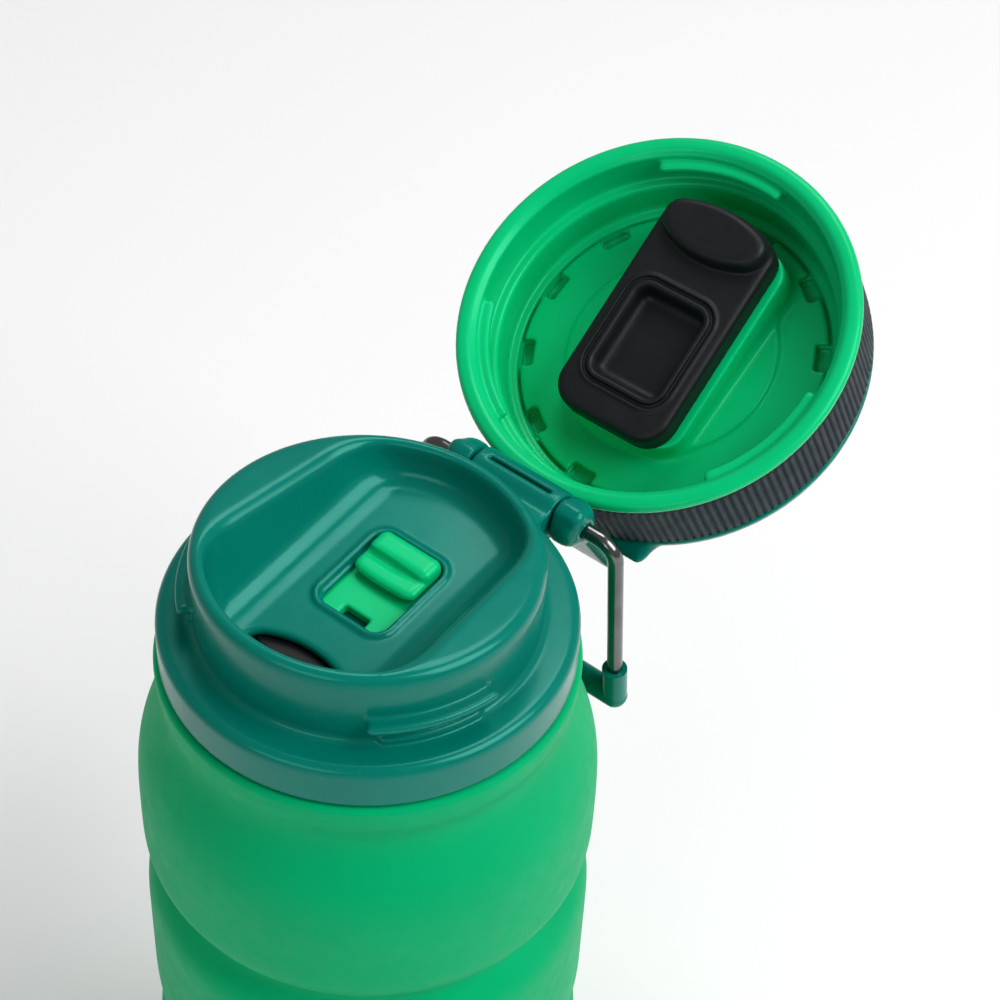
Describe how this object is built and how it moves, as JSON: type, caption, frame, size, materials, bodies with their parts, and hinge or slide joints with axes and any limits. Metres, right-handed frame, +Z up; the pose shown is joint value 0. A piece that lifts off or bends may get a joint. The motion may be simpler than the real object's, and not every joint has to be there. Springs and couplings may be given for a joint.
{
  "type": "folding water bottle",
  "caption": "Pleated silicone bottle that shortens when folded, with a screw-on sip lid, a slider valve, a flip cap with a turning ring and a wire carrying bail.",
  "frame": {"origin": "centre of the flat underside of the base, on the bottle's axis", "axes": "+Z up along the bottle's axis; -Y towards the drink hole; +Y towards the hinge and the open cap; X along the hinge wire"},
  "size_m": [0.0804, 0.1588, 0.2079],
  "materials": {
    "silicone": "matte translucent-looking silicone",
    "neck_plastic": "satin moulded plastic",
    "seal_silicone": "soft satin",
    "lid_teal": "glossy moulded plastic",
    "cap_green": "satin-gloss moulded plastic",
    "gasket_black": "matte silicone",
    "grip_rubber": "matte ribbed rubber",
    "steel_wire": "polished stainless wire"
  },
  "bodies": {
    "base": {"base_cup": "silicone", "bellows": "silicone"},
    "neck": {"neck_sleeve": "silicone", "neck_ring": "neck_plastic"},
    "lid_seal": {"body_gasket": "seal_silicone"},
    "lid": {"lid_shell": "lid_teal", "valve_cover": "neck_plastic"},
    "slider": {"slider_tab": "cap_green", "slider_plate": "cap_green", "valve_seal": "gasket_black"},
    "cap": {"cap_cover": "lid_teal", "cap_core": "cap_green", "cap_gasket": "gasket_black"},
    "cap_ring": {"cap_liner": "cap_green", "grip_band": "grip_rubber"},
    "bail": {"bail_wire": "steel_wire", "bail_grip": "lid_teal"}
  },
  "joints": [
    {"name": "body_fold", "type": "slide", "parent": "base", "child": "neck", "axis": [0, 0, -1], "range_m": [0, 0.07], "deforming": ["bellows"]},
    {"name": "lid_lift", "type": "slide", "parent": "neck", "child": "lid_seal", "axis": [0, 0, 1], "range_m": [0, 0.0032]},
    {"name": "lid_turn", "type": "hinge", "parent": "lid_seal", "child": "lid", "pos_m": [0, 0, 0.17], "axis": [0, 0, 1], "range_deg": [0, 360]},
    {"name": "slider_slide", "type": "slide", "parent": "lid", "child": "slider", "axis": [0, -0.9945, -0.1045], "range_m": [0, 0.0079]},
    {"name": "cap_flip", "type": "hinge", "parent": "lid", "child": "cap", "pos_m": [0, 0.04015, 0.17515], "axis": [1, 0, 0], "range_deg": [0, 151.8]},
    {"name": "cap_twist", "type": "hinge", "parent": "cap", "child": "cap_ring", "pos_m": [0, 0.07553, 0.19412], "axis": [0, -0.4726, 0.8813], "range_deg": [0, 46.5]},
    {"name": "bail_swing", "type": "hinge", "parent": "lid", "child": "bail", "pos_m": [0, 0.04015, 0.17515], "axis": [1, 0, 0], "range_deg": [0, 30]}
  ],
  "couplings": [
    {"joint": "lid_lift", "follows": "lid_turn", "m_per_rad": 0.0005093}
  ]
}
